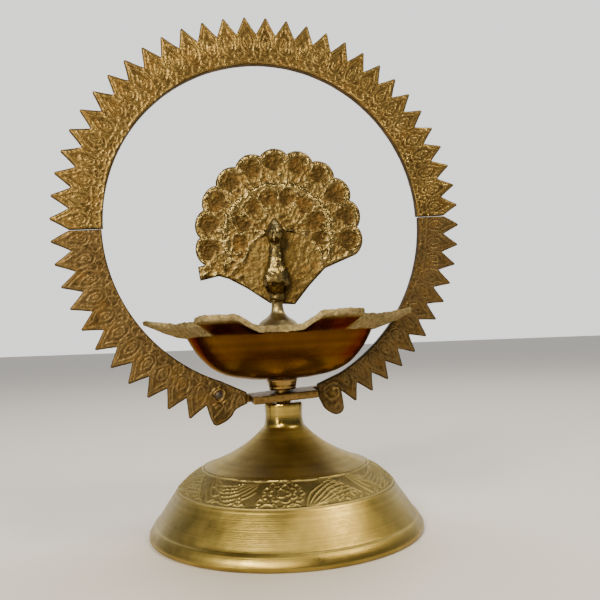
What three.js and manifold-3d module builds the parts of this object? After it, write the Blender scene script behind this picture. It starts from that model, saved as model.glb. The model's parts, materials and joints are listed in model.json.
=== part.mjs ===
// A standing brass oil lamp: a hollow turned pedestal, a six-petalled oil bowl, a toothed halo
// ring on a strap that is clamped under the bowl, and a peacock with an open tail in the middle.
//
// Units are millimetres and +Z is up. The lamp stands on Z = 0 and faces -Y. The origin is the
// middle of the box that the lamp fills on its table, so the pedestal's axis is a little to one
// side of it, because the bowl, ring and peacock stand slightly out of upright.

import * as THREE from "three";
import { mergeVertices } from "three/addons/utils/BufferGeometryUtils.js";
import Module from "manifold-3d";

const wasm = await Module();
wasm.setup();

// ---- driving dimensions ------------------------------------------------------------------

const GAP = 0.3; // clearance between pieces that meet

// pedestal
const PEDESTAL_X = 2.9; // the pedestal's axis, to the right of the origin
const PEDESTAL_R = 46;
const LIP_H = 4.4;
const BAND_LOW = { r: 36.9, z: 14.7 };
const BAND_HIGH = { r: 27.8, z: 21.3 };
const NECK_FOOT = { r: 7.6, z: 33.4 };
const NECK_R = 6.5;
const NECK_TOP = 42;
const PEDESTAL_WALL = 2.9; // depth of metal under the band

// everything above the neck leans to the left about the neck's top
const LEAN = THREE.MathUtils.degToRad(-1);

// heights below are measured from the neck's top, along the leaning axis
const STUD_R = 2.4;
const STUD_BORE = STUD_R + 0.5; // the stud leans a little in its bore
const STUD_LOW = -8.5;
const STUD_TOP = 5.5;
const STRAP_LOW = 0.95;
const STRAP_THICK = 2.6;
const STRAP_DEPTH = 13;
const COLLAR = { low: 4.2, high: 7.9, lowR: 4.7, highR: 5.4 };

// bowl
const BOWL_FLOOR = 8.2; // underside of the bowl's floor
const BOWL_EDGE = { r: 32, z: 23.4 }; // where the turned part ends and the petals begin
const BOWL_WALL = 1.9;
const PETALS = 6;
const PETAL_TURN = THREE.MathUtils.degToRad(2.5);
const SPOUT = { reach: 14.6, lift: 5, taper: 3.5 }; // the two petals at the sides are longer wick rests
const PETAL = { reach: 11.2, lift: 4, taper: 1.15 }; // how far a tip stands out past the edge, and up
const DIP_REACH = 1.8; // at the low dips in front and behind
const SIDE_REACH = 3.6; // between a petal and a wick rest, where the rim stays high
const DIP = { from: 0.13, to: 0.34 }; // how wide the dips are, in petals
const CUT = { from: 0.62, to: 0.72, drop: 1 }; // a petal ends steeply this far from the dip, beside a rest

// ring
const RING_TURN = THREE.MathUtils.degToRad(13.2); // the ring is swivelled, right side back
const RING_LEAN = THREE.MathUtils.degToRad(-2.4); // and leans more than the bowl
const RING_NOD = THREE.MathUtils.degToRad(3); // and its top nods forward
const RING_CENTRE = 62; // above the neck's top
const RING_IN = 55.1;
const ARM_IN = 55.6;
const RING_VALLEY = 65.7;
const RING_TIP = 71.5;
const RING_THICK = 2.4;
const TOOTH_PITCH = THREE.MathUtils.degToRad(5.975);
const TOOTH_SHIFT = THREE.MathUtils.degToRad(0.8); // the casting's teeth are not quite centred
const TOOTH_TIP = { half: 0.05, down: 0.1 }; // half width in pitches, and how far below the peak
const TOOTH_FLANK = { half: 0.27, up: 2.6 }; // a little hollow, as a flame's is
const ARM_FIRST_TOOTH = 15; // counted from the top on each side: the arch ends before it
const ARM_START = ARM_FIRST_TOOTH * TOOTH_PITCH;
const STRAP_HALF = 15; // the strap lies flat this far out, then turns up behind the ring
const RIVET = { r: 1.4, headR: 2.1, headH: 0.8 };
const ARMS = {
  left: {
    side: -1,
    lastTooth: 25,
    drawnIn: 0,
    spread: THREE.MathUtils.degToRad(1.7),
    innerEnd: 56.6,
    rivet: { x: 22, z: -57 },
    lobe: [
      [24.5, -66.8],
      [21.2, -66.6],
      [18.4, -64.9],
      [16.6, -62.6],
      [12.6, -61],
    ],
  },
  right: {
    side: 1,
    lastTooth: 26,
    drawnIn: 0.035,
    spread: THREE.MathUtils.degToRad(-1),
    innerEnd: 58.2,
    rivet: { x: 17.6, z: -60.6 },
    lobe: [
      [21.3, -63.6],
      [21.2, -67.2],
      [18.4, -68.5],
      [15, -66.4],
      [13.4, -63.2],
      [12.6, -61.4],
    ],
  },
};

// peacock
const FOOT_LOW = BOWL_FLOOR + BOWL_WALL + 0.65; // room for its lean on the bowl's floor
const STEM_R = 2.1;
const STEM_TOP = 35.4;
const PEACOCK_X = -0.8;
const PEACOCK_LEAN = THREE.MathUtils.degToRad(1.2); // the peacock stands straighter than its bowl
const TAIL = { x: 1.1, z: 58.7, r: 29.7, tall: 1.04, scallops: 11, from: -16, to: 200 }; // angles in degrees
const TAIL_THICK = 2.4;
const TAIL_Y = 3.4; // the tail plate's back face is this far behind the stem's axis
const SCREW_R = 1.4;

// ---- helpers -----------------------------------------------------------------------------

const deg = THREE.MathUtils.degToRad;
const points2 = (list) => list.map(([x, y]) => new THREE.Vector2(x, y));

/** A brass finish. */
function brass(color, roughness) {
  return new THREE.MeshStandardMaterial({ color, roughness, metalness: 1 });
}

const FINISH = {
  turned: brass(0xb08a3c, 0.32),
  cast: brass(0x86673a, 0.5),
  bowl: brass(0x8f6a2e, 0.3),
  dark: brass(0x6e5730, 0.55),
  steel: new THREE.MeshStandardMaterial({ color: 0x4c4a48, roughness: 0.5, metalness: 1 }),
};

/** Keeps positions only and shares equal vertices, as a solid needs. */
function weld(geometry) {
  const bare = geometry.clone();
  bare.deleteAttribute("normal");
  bare.deleteAttribute("uv");
  return mergeVertices(bare, 1e-4);
}

/** A turned solid about Z: the profile lists [radius, height] from axis to axis, or a closed loop. */
function turned(profile, segments = 64) {
  const geometry = new THREE.LatheGeometry(points2(profile), segments);
  geometry.rotateX(Math.PI / 2);
  return geometry;
}

/** The manifold solid of a closed geometry. */
function toSolid(geometry) {
  const welded = weld(geometry);
  return new wasm.Manifold(
    new wasm.Mesh({
      numProp: 3,
      vertProperties: new Float32Array(welded.attributes.position.array),
      triVerts: new Uint32Array(welded.index.array),
    }),
  );
}

/** The geometry of a manifold solid. */
function toGeometry(solid) {
  const mesh = solid.getMesh();
  const geometry = new THREE.BufferGeometry();
  geometry.setAttribute("position", new THREE.BufferAttribute(mesh.vertProperties, 3));
  geometry.setIndex(new THREE.BufferAttribute(mesh.triVerts, 1));
  geometry.computeVertexNormals();
  return geometry;
}

/** The first geometry joined with the others. */
function joined(first, ...others) {
  return toGeometry(others.reduce((sum, g) => sum.add(toSolid(g)), toSolid(first)));
}

/** The first geometry with the others cut out of it. */
function cut(first, ...others) {
  return toGeometry(others.reduce((rest, g) => rest.subtract(toSolid(g)), toSolid(first)));
}

/** A cylinder along Z between two heights. */
function rod(radius, low, high, segments = 32) {
  const geometry = new THREE.CylinderGeometry(radius, radius, high - low, segments);
  geometry.rotateX(Math.PI / 2);
  geometry.translate(0, 0, (low + high) / 2);
  return geometry;
}

/** A shape drawn in the XZ plane, given depth along Y from `front` to `front + thick`. */
function plate(shape, thick, front, curveSegments = 24) {
  const geometry = new THREE.ExtrudeGeometry(shape, {
    depth: thick,
    bevelEnabled: false,
    curveSegments,
  });
  geometry.rotateX(Math.PI / 2);
  geometry.translate(0, front + thick, 0);
  return geometry;
}

function named(name, geometry, material) {
  const mesh = new THREE.Mesh(geometry, material);
  mesh.name = name;
  return mesh;
}

// ---- pedestal ----------------------------------------------------------------------------

/** Points along the concave flare between the band and the neck. */
function flare(from, to, count) {
  const curve = new THREE.CubicBezierCurve(
    new THREE.Vector2(from.r, from.z),
    new THREE.Vector2(from.r - 7.5, from.z + 2.6),
    new THREE.Vector2(to.r + 4.6, to.z - 5.4),
    new THREE.Vector2(to.r, to.z),
  );
  return curve.getPoints(count).map((p) => [p.x, p.y]);
}

/** The hollow turned foot of the lamp, open underneath, with a tapped neck. */
function pedestal() {
  const outside = [
    [PEDESTAL_R - 0.6, 0],
    [PEDESTAL_R, 0.7],
    [PEDESTAL_R, 1.8],
    [PEDESTAL_R - 1.7, LIP_H],
    [PEDESTAL_R - 2.6, LIP_H + 0.5],
    [BAND_LOW.r + 0.5, BAND_LOW.z - 0.9],
    [BAND_LOW.r, BAND_LOW.z],
    [(BAND_LOW.r + BAND_HIGH.r) / 2 + 0.4, (BAND_LOW.z + BAND_HIGH.z) / 2 + 0.5],
    [BAND_HIGH.r + 0.3, BAND_HIGH.z - 0.2],
    ...flare(BAND_HIGH, NECK_FOOT, 9),
    [NECK_R + 0.1, NECK_FOOT.z + 1.6],
    [NECK_R - 0.1, (NECK_FOOT.z + NECK_TOP) / 2],
    [NECK_R, NECK_TOP - 0.8],
    [NECK_R - 0.3, NECK_TOP],
    [STUD_BORE, NECK_TOP],
  ];
  const inside = [
    [STUD_BORE, NECK_FOOT.z - 1],
    [NECK_FOOT.r, NECK_FOOT.z - 4.6],
    [12, 24.4],
    [18, 20.2],
    [BAND_HIGH.r - 1, BAND_HIGH.z - PEDESTAL_WALL],
    [BAND_LOW.r - 1, BAND_LOW.z - PEDESTAL_WALL],
    [PEDESTAL_R - 3.4, LIP_H - 0.8],
    [PEDESTAL_R - 3, 0],
  ];
  const loop = [...outside, ...inside];
  return turned([...loop, loop[0]], 64);
}

// ---- bowl --------------------------------------------------------------------------------

/** How far out and up the rim stands at this angle, and how much of it is a wick rest. */
function petalAt(angle) {
  const turn = (angle - PETAL_TURN) / ((2 * Math.PI) / PETALS);
  const nearest = Math.round(turn);
  const off = Math.abs(turn - nearest) * 2;
  const fromDip = Math.abs(THREE.MathUtils.euclideanModulo(turn, PETALS / 2) - PETALS / 4);
  const raised = THREE.MathUtils.smoothstep(fromDip, DIP.from, DIP.to);
  const beside = THREE.MathUtils.smoothstep(fromDip, CUT.from, CUT.to);
  const sideLift = PETAL.lift * raised - CUT.drop * beside;
  if (nearest % 3 === 0) {
    const share = ((1 + Math.cos(Math.PI * off)) / 2) ** SPOUT.taper;
    return {
      reach: SIDE_REACH + (SPOUT.reach - SIDE_REACH) * share,
      lift: sideLift + (SPOUT.lift - sideLift) * share,
      share,
    };
  }
  const low = fromDip < 0.5 ? DIP_REACH : SIDE_REACH;
  const reach = low + (PETAL.reach - low) * (1 - off ** PETAL.taper) * (1 - beside);
  return { reach, lift: sideLift, share: 0 };
}

/** Draws the rim of a turned bowl out and up into petals. Inside the edge nothing moves. */
function petalled(geometry) {
  const at = geometry.attributes.position;
  for (let i = 0; i < at.count; i += 1) {
    const radius = Math.hypot(at.getX(i), at.getY(i));
    const beyond = radius - BOWL_EDGE.r;
    if (beyond > 0) {
      const { reach, lift, share } = petalAt(Math.atan2(at.getY(i), at.getX(i)));
      const part = beyond / SPOUT.reach;
      const wider = (BOWL_EDGE.r + reach * part) / radius;
      const higher = lift * part ** (0.8 + 0.5 * share);
      at.setXYZ(i, at.getX(i) * wider, at.getY(i) * wider, at.getZ(i) + higher);
    }
  }
  return geometry;
}

/** The oil bowl: a turned underside whose rim opens into petals. */
function bowl() {
  const rimR = BOWL_EDGE.r + SPOUT.reach;
  const under = [
    [0, BOWL_FLOOR],
    [9.6, BOWL_FLOOR + 0.2],
    [13.2, BOWL_FLOOR + 0.6],
    [16.7, BOWL_FLOOR + 1.3],
    [20.3, BOWL_FLOOR + 2.5],
    [23.8, BOWL_FLOOR + 4.5],
    [26.6, BOWL_FLOOR + 7.1],
    [29, BOWL_FLOOR + 10],
    [30.7, BOWL_FLOOR + 12.8],
    [BOWL_EDGE.r, BOWL_EDGE.z],
    [BOWL_EDGE.r + SPOUT.reach * 0.3, BOWL_EDGE.z],
    [BOWL_EDGE.r + SPOUT.reach * 0.65, BOWL_EDGE.z],
    [rimR, BOWL_EDGE.z + 0.3],
  ];
  const above = [
    [rimR, BOWL_EDGE.z + BOWL_WALL],
    [BOWL_EDGE.r + SPOUT.reach * 0.65, BOWL_EDGE.z + BOWL_WALL + 0.3],
    [BOWL_EDGE.r + SPOUT.reach * 0.3, BOWL_EDGE.z + BOWL_WALL + 0.3],
    [BOWL_EDGE.r - 0.8, BOWL_EDGE.z + BOWL_WALL],
    [27.6, BOWL_FLOOR + 11.4],
    [24.4, BOWL_FLOOR + 7.4],
    [20.4, BOWL_FLOOR + 4.6],
    [15, BOWL_FLOOR + 2.9],
    [11.4, BOWL_FLOOR + BOWL_WALL],
    [0, BOWL_FLOOR + BOWL_WALL],
  ];
  return cut(petalled(turned([...under, ...above], 72)), screwBore());
}

/** The hole for the peacock's screw through the bowl's floor and into the collar. */
function screwBore() {
  const bore = rod(SCREW_R + GAP, STUD_TOP, BOWL_FLOOR + BOWL_WALL + 1, 24);
  return bore.translate(PEACOCK_X, 0, 0);
}

/** The short tapered collar that the bowl stands on. It is tapped for the peacock's screw. */
function bowlCollar() {
  const solid = turned(
    [
      [0, STUD_TOP + GAP],
      [STUD_R + GAP, STUD_TOP + GAP],
      [STUD_R + GAP, COLLAR.low],
      [COLLAR.lowR - 0.3, COLLAR.low],
      [COLLAR.lowR, COLLAR.low + 0.4],
      [COLLAR.highR, COLLAR.high],
      [0, COLLAR.high],
    ],
    32,
  );
  return cut(solid, screwBore());
}

/** The threaded stud that holds the bowl, through the strap, in the pedestal's neck. */
function bowlStud() {
  return rod(STUD_R, STUD_LOW, STUD_TOP);
}

// ---- ring --------------------------------------------------------------------------------

/** A point of the ring's plane, by angle clockwise from its top and distance from its centre. */
function onRing(angle, radius) {
  return new THREE.Vector2(radius * Math.sin(angle), radius * Math.cos(angle));
}

/** Runs along teeth first to last (counted clockwise, 0 right of the top), valley to valley. */
function toothedEdge(first, last, { shift = TOOTH_SHIFT, drawnIn = 0, spread = 0 } = {}) {
  const point = (angle, radius) => {
    const along = Math.max(0, (angle - ARM_START) / (Math.PI - ARM_START));
    return onRing(angle + spread * (2 * along) ** 2 / 2, radius * (1 - drawnIn * along));
  };
  const edge = [point(first * TOOTH_PITCH + shift, RING_VALLEY)];
  for (let tooth = first; tooth <= last; tooth += 1) {
    const middle = (tooth + 0.5) * TOOTH_PITCH + shift;
    edge.push(point(middle - TOOTH_PITCH * TOOTH_FLANK.half, RING_VALLEY + TOOTH_FLANK.up));
    edge.push(point(middle - TOOTH_PITCH * TOOTH_TIP.half, RING_TIP - TOOTH_TIP.down));
    edge.push(point(middle + TOOTH_PITCH * TOOTH_TIP.half, RING_TIP - TOOTH_TIP.down));
    edge.push(point(middle + TOOTH_PITCH * TOOTH_FLANK.half, RING_VALLEY + TOOTH_FLANK.up));
    edge.push(point(middle + TOOTH_PITCH / 2, RING_VALLEY));
  }
  return edge;
}

/** The inner edge from one angle and radius back to another. */
function innerEdge(from, to, fromRadius, toRadius, steps) {
  const edge = [];
  for (let i = steps; i >= 0; i -= 1) {
    const part = i / steps;
    edge.push(onRing(from + (to - from) * part, fromRadius + (toRadius - fromRadius) * part ** 2));
  }
  return edge;
}

/** The upper half of the ring. */
function ringArch() {
  const outer = toothedEdge(-ARM_FIRST_TOOTH, ARM_FIRST_TOOTH - 1);
  const inner = innerEdge(TOOTH_SHIFT - ARM_START, TOOTH_SHIFT + ARM_START, RING_IN, RING_IN, 60);
  return plate(new THREE.Shape([...outer, ...inner]), RING_THICK, -RING_THICK / 2);
}

/** An arm's outline on the right: from the arch's end down to a lobe beside the strap. */
function armShape({ side, lastTooth, drawnIn, spread, innerEnd, lobe }) {
  const shift = side * TOOTH_SHIFT;
  const start = ARM_START + shift + GAP / ARM_IN;
  const outer = toothedEdge(ARM_FIRST_TOOTH, lastTooth, { shift, drawnIn, spread });
  outer[0] = onRing(start, RING_VALLEY);
  const valley = outer.at(-1);
  const curve = new THREE.SplineCurve([valley, ...points2(lobe)]);
  const shoulder = new THREE.Vector2(12.6, -57.2);
  const inner = innerEdge(start, deg(158.5), ARM_IN, innerEnd, 32);
  return new THREE.Shape([...outer.slice(0, -1), ...curve.getPoints(14), shoulder, ...inner]);
}

/** A lower arm of the ring, bored for the rivet that holds it to the strap. */
function ringArm(arm) {
  const geometry = plate(armShape(arm), RING_THICK, -RING_THICK / 2);
  if (arm.side < 0) {
    geometry.scale(-1, 1, 1);
    reverse(geometry);
  }
  return cut(geometry, rivetHole(arm));
}

/** Turns every triangle of a mirrored geometry the right way out again. */
function reverse(geometry) {
  const at = geometry.attributes.position;
  for (let i = 0; i < at.count; i += 3) {
    const [x, y, z] = [at.getX(i), at.getY(i), at.getZ(i)];
    at.setXYZ(i, at.getX(i + 1), at.getY(i + 1), at.getZ(i + 1));
    at.setXYZ(i + 1, x, y, z);
  }
  return geometry;
}

/** A cylinder along Y on an arm's rivet axis, from `front` to `back`. */
function onRivetAxis({ side, rivet }, radius, front, back) {
  const geometry = new THREE.CylinderGeometry(radius, radius, back - front, 16);
  geometry.translate(side * rivet.x, (front + back) / 2, rivet.z);
  return geometry;
}

function rivetHole(arm) {
  return onRivetAxis(arm, RIVET.r + GAP, -20, 20);
}

/** A rivet through an arm and the tab behind it, with a low head on each side. */
function rivet(arm) {
  const front = -RING_THICK / 2 - GAP;
  const back = RING_THICK / 2 + GAP + STRAP_THICK + GAP;
  return joined(
    onRivetAxis(arm, RIVET.r, front - 0.1, back + 0.1),
    onRivetAxis(arm, RIVET.headR, front - RIVET.headH, front),
    onRivetAxis(arm, RIVET.headR, back, back + RIVET.headH),
  );
}

/** The upright tab at one end of the strap, round about its rivet. */
function strapTab({ side, rivet: { x, z } }, low, front) {
  const tab = new THREE.Shape();
  tab.moveTo(STRAP_HALF - 4, low + 0.3);
  tab.lineTo(x - 1, Math.min(z - 3.6, low));
  tab.absarc(x, z, 3.6, -Math.PI / 2, Math.PI / 2, false);
  tab.lineTo(STRAP_HALF - 4, low + STRAP_THICK - 0.3);
  const geometry = plate(tab, STRAP_THICK, front, 8);
  if (side < 0) {
    geometry.scale(-1, 1, 1);
    reverse(geometry);
  }
  return geometry;
}

/** The flat bar under the bowl. Its middle lies flat on the neck, and its ends turn up. */
function strap() {
  const low = STRAP_LOW - RING_CENTRE;
  const flat = new THREE.BoxGeometry(STRAP_HALF * 2, STRAP_DEPTH, STRAP_THICK);
  flat.translate(0, 0, low + STRAP_THICK / 2);
  const front = RING_THICK / 2 + GAP;
  const tabs = Object.values(ARMS).map((arm) => strapTab(arm, low, front));
  const slots = [-1, 1].map((side) => {
    const slot = new THREE.BoxGeometry(8, STRAP_DEPTH + 2, STRAP_THICK + 2);
    slot.translate(side * (STRAP_HALF + 0.2), -(STRAP_DEPTH + 2) / 2 + front, low + STRAP_THICK / 2);
    return slot;
  });
  const hole = rod(STUD_R + GAP, low - 1, low + STRAP_THICK + 1);
  const whole = joined(cut(flat, ...slots), ...tabs);
  return cut(whole, hole, rivetHole(ARMS.left), rivetHole(ARMS.right));
}

// ---- peacock -----------------------------------------------------------------------------

/** The bell foot and slender stem that the peacock stands on, bored for its screw. */
function peacockFoot() {
  const bore = SCREW_R + GAP;
  const boreTop = FOOT_LOW + 9;
  const loop = [
    [bore, FOOT_LOW],
    [10.4, FOOT_LOW],
    [10.6, FOOT_LOW + 0.8],
    [9.7, FOOT_LOW + 4],
    [9.2, FOOT_LOW + 8],
    [8.7, FOOT_LOW + 12],
    [7.6, FOOT_LOW + 15],
    [6, FOOT_LOW + 17.2],
    [3.4, FOOT_LOW + 19],
    [STEM_R, FOOT_LOW + 21.4],
    [STEM_R, STEM_TOP],
    [0, STEM_TOP],
    [0, boreTop],
    [bore, boreTop - 0.6],
  ];
  return turned([...loop, loop[0]], 32);
}

/** The screw that holds the peacock's foot to the bowl's floor and collar. */
function peacockScrew() {
  return rod(SCREW_R, STUD_TOP + 2 * GAP, FOOT_LOW + 8, 24);
}

/** An ellipsoid by its middle and half sizes. */
function egg(x, y, z, rx, ry, rz) {
  const geometry = new THREE.SphereGeometry(1, 20, 12);
  geometry.rotateX(Math.PI / 2);
  geometry.scale(rx, ry, rz);
  geometry.translate(x, y, z);
  return geometry;
}

/** The bird itself: breast, bent neck, head and beak. */
function peacockBody() {
  const neckLine = new THREE.CatmullRomCurve3([
    new THREE.Vector3(0, -2.2, STEM_TOP + 7),
    new THREE.Vector3(0, -4.2, STEM_TOP + 12),
    new THREE.Vector3(0, -4.4, STEM_TOP + 17),
    new THREE.Vector3(0, -5.2, STEM_TOP + 22),
  ]);
  const section = new THREE.Shape();
  section.absarc(0, 0, 2.7, 0, Math.PI * 2);
  const neck = new THREE.ExtrudeGeometry(section, {
    steps: 8,
    extrudePath: neckLine,
    curveSegments: 8,
  });
  const beak = new THREE.ConeGeometry(1.3, 5.4, 12);
  beak.rotateX(deg(150));
  beak.translate(0, -8.4, STEM_TOP + 20.6);
  return joined(
    egg(0, -1.6, STEM_TOP + 7, 5.2, 4.2, 6.2),
    neck,
    egg(0, -5.6, STEM_TOP + 22.8, 2.6, 3.2, 3),
    beak,
    rod(STEM_R, STEM_TOP + GAP, STEM_TOP + 3, 24),
  );
}

/** The open tail: a plate with a scalloped edge, brazed behind the bird. */
function peacockTail() {
  const from = deg(TAIL.from);
  const to = deg(TAIL.to);
  const edge = [];
  const stepsEach = 8;
  const count = TAIL.scallops * stepsEach;
  for (let i = 0; i <= count; i += 1) {
    const angle = from + ((to - from) * i) / count;
    const bump = Math.abs(Math.sin((Math.PI * i) / stepsEach));
    const radius = TAIL.r - 1.7 + 1.9 * bump ** 0.7;
    edge.push([radius * Math.cos(angle), radius * TAIL.tall * Math.sin(angle)]);
  }
  const lower = [
    [-28.8, -10.6],
    [-28.1, -15.4],
    [-21.7, -14],
    [-18.1, -15.1],
    [-11.7, -18.7],
    [-3.8, -24.2],
    [5.1, -24.9],
    [10.5, -18.3],
    [16.2, -12.4],
  ];
  const outline = points2([...edge, ...lower].map(([x, z]) => [x + TAIL.x, z + TAIL.z]));
  const fan = plate(new THREE.Shape(outline), TAIL_THICK, TAIL_Y - TAIL_THICK);
  return cut(fan, tailRecess());
}

/** Room in the tail plate for the back of the bird. */
function tailRecess() {
  return joined(
    egg(0, -1.6, STEM_TOP + 7, 5.2 + GAP, 4.2 + GAP, 6.2 + GAP),
    rod(STEM_R + GAP, STEM_TOP - 3, STEM_TOP + 4, 24),
  );
}

// ---- the lamp ----------------------------------------------------------------------------

function ring() {
  const group = new THREE.Group();
  group.rotation.set(RING_NOD, RING_LEAN, RING_TURN, "ZYX");
  const centred = new THREE.Group();
  centred.position.set(0, 0, RING_CENTRE);
  centred.add(
    named("ring_upper_arch", ringArch(), FINISH.cast),
    named("ring_left_arm", ringArm(ARMS.left), FINISH.cast),
    named("ring_right_arm", ringArm(ARMS.right), FINISH.cast),
    named("strap", strap(), FINISH.dark),
    named("rivet_left", rivet(ARMS.left), FINISH.steel),
    named("rivet_right", rivet(ARMS.right), FINISH.cast),
  );
  group.add(centred);
  return group;
}

function peacock() {
  const pieces = new THREE.Group();
  pieces.position.z = -FOOT_LOW;
  pieces.add(
    named("peacock_foot", peacockFoot(), FINISH.turned),
    named("peacock_screw", peacockScrew(), FINISH.dark),
    named("peacock_body", peacockBody(), FINISH.cast),
    named("peacock_tail", peacockTail(), FINISH.cast),
  );
  const group = new THREE.Group();
  group.position.set(PEACOCK_X, 0, FOOT_LOW);
  group.rotation.y = PEACOCK_LEAN;
  group.add(pieces);
  return group;
}

function upperPart() {
  const group = new THREE.Group();
  group.position.set(PEDESTAL_X, 0, NECK_TOP);
  group.rotation.y = LEAN;
  group.add(
    named("bowl_stud", bowlStud(), FINISH.dark),
    named("bowl_collar", bowlCollar(), FINISH.dark),
    named("bowl", bowl(), FINISH.bowl),
    ring(),
    peacock(),
  );
  return group;
}

const lamp = new THREE.Group();
const foot = named("base", pedestal(), FINISH.turned);
foot.position.x = PEDESTAL_X;
lamp.add(foot, upperPart());

export default lamp;
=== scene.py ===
"""The looks of a standing brass oil lamp: turned pedestal, petalled bowl, cast halo ring, peacock.

Shapes are worked out in millimetres, each in its own part's frame, and placed in metres.
"""

import json
import math

import bpy
import numpy as np
from mathutils import Matrix, Vector, geometry, kdtree, noise

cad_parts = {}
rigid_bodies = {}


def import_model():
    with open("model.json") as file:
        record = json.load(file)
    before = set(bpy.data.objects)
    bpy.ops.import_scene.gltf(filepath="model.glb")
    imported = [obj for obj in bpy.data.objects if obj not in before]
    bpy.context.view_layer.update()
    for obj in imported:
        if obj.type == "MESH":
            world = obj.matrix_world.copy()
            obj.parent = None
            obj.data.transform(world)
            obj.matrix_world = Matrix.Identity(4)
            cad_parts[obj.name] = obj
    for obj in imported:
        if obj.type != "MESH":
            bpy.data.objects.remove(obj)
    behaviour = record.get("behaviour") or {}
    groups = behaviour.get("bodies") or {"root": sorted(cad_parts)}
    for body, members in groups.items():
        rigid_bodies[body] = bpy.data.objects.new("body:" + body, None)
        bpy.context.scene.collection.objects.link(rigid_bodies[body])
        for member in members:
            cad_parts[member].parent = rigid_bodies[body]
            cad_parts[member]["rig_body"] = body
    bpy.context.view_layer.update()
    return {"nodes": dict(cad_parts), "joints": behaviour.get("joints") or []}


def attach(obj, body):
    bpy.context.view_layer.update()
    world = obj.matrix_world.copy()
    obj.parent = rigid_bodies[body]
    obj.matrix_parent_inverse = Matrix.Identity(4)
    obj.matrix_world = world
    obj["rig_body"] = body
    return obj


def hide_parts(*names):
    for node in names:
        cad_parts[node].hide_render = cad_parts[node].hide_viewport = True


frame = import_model()

MM = 0.001

# ---- driving dimensions, in millimetres and as in the CAD ----------------------------------

PEDESTAL_R = 46
LIP_H = 4.4
BAND_LOW = (36.9, 14.7)
BAND_HIGH = (27.8, 21.3)
PEDESTAL_WALL = 2.9
NECK_FOOT = (7.6, 33.4)
NECK_R = 6.5
NECK_TOP = 42
COLLAR_LOW, COLLAR_HIGH = 4.2, 7.9
BORE_R = 1.7

BOWL_FLOOR = 8.2
BOWL_EDGE = (32, 23.4)
BOWL_WALL = 1.9
PETALS = 6
PETAL_TURN = math.radians(2.5)
SPOUT = {"reach": 14.6, "lift": 5, "taper": 3.5}
PETAL = {"reach": 11.2, "lift": 4, "taper": 1.15}
DIP_REACH = 1.8
SIDE_REACH = 3.6
DIP_FROM, DIP_TO = 0.13, 0.34
CUT = {"from": 0.62, "to": 0.72, "drop": 1}

RING_TURN = math.radians(13.2)
RING_LEAN = math.radians(-2.4)
RING_NOD = math.radians(3)
RING_CENTRE = 62
RING_IN = 55.1
ARM_IN = 55.6
RING_VALLEY = 65.7
RING_TIP = 71.5
RING_THICK = 2.4
TOOTH_PITCH = math.radians(5.975)
TOOTH_SHIFT = math.radians(0.8)
ARM_FIRST_TOOTH = 15
ARM_START = ARM_FIRST_TOOTH * TOOTH_PITCH
ARM_END = math.radians(158.5)
ARM_CORNER = (12.6, -57.2)
GAP = 0.3
STRAP_THICK = 2.6
ARMS = {
    "left": {
        "side": -1,
        "last": 25,
        "drawn_in": 0,
        "spread": math.radians(1.7),
        "inner_end": 56.6,
        "rivet": (22, -57),
        "curl": 2.6,
        "small_curls": [(-2.4, -3.4), (1.6, -4.4), (-5.6, -1.4)],
        "lobe": [(24.5, -66.8), (21.2, -66.6), (18.4, -64.9), (16.6, -62.6), (12.6, -61)],
    },
    "right": {
        "side": 1,
        "last": 26,
        "drawn_in": 0.035,
        "spread": math.radians(-1),
        "inner_end": 58.2,
        "rivet": (17.6, -60.6),
        "curl": 3.4,
        "small_curls": [(1.8, -5.4)],
        "lobe": [(21.3, -63.6), (21.2, -67.2), (18.4, -68.5), (15, -66.4), (13.4, -63.2), (12.6, -61.4)],
    },
}

FOOT_LOW = BOWL_FLOOR + BOWL_WALL + 0.65
STEM_R = 2.1
STEM_TOP = 35.4
TAIL_X, TAIL_Z, TAIL_R = 1.1, 58.7, 29.7
TAIL_TALL = 1.04
SCALLOPS = 11
TAIL_FROM, TAIL_TO = math.radians(-16), math.radians(200)
TAIL_THICK = 2.4
TAIL_BACK = 3.4
TAIL_LOWER = [
    *[(-28.8, -10.6), (-28.1, -15.4), (-21.7, -14), (-18.1, -15.1), (-11.7, -18.7)],
    *[(-3.8, -24.2), (5.1, -24.9), (10.5, -18.3), (16.2, -12.4)],
]

# ---- places, from the frame's joints -------------------------------------------------------


def joint(name):
    """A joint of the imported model."""
    return next(j for j in frame["joints"] if j["name"] == name)


def on_joint(name):
    """The frame that stands on a joint's point with +Z along its axis, without twist."""
    lean = Vector((0, 0, 1)).rotation_difference(Vector(joint(name)["axis"]))
    return Matrix.Translation(joint(name)["pos_m"]) @ lean.to_matrix().to_4x4()


def up(height):
    """A shift along Z, given in millimetres."""
    return Matrix.Translation((0, 0, height * MM))


UPPER = on_joint("bowl_unscrew")
PEDESTAL = Matrix.Translation((joint("bowl_unscrew")["pos_m"][0], 0, 0))
RING = (
    UPPER
    @ Matrix.Rotation(RING_TURN, 4, "Z")
    @ Matrix.Rotation(RING_LEAN, 4, "Y")
    @ Matrix.Rotation(RING_NOD, 4, "X")
    @ up(RING_CENTRE)
)
PEACOCK = on_joint("peacock_turn") @ up(-FOOT_LOW)

# ---- curves and relief ---------------------------------------------------------------------


def polar(angle, radius):
    """A point by its angle clockwise from the top."""
    return (radius * math.sin(angle), radius * math.cos(angle))


def arc(cx, cy, rx, ry, start, end, count=16):
    """Points of an elliptical arc, by angles anticlockwise from +X in degrees."""
    at = np.radians(np.linspace(start, end, count))
    return np.column_stack([cx + rx * np.cos(at), cy + ry * np.sin(at)])


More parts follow.
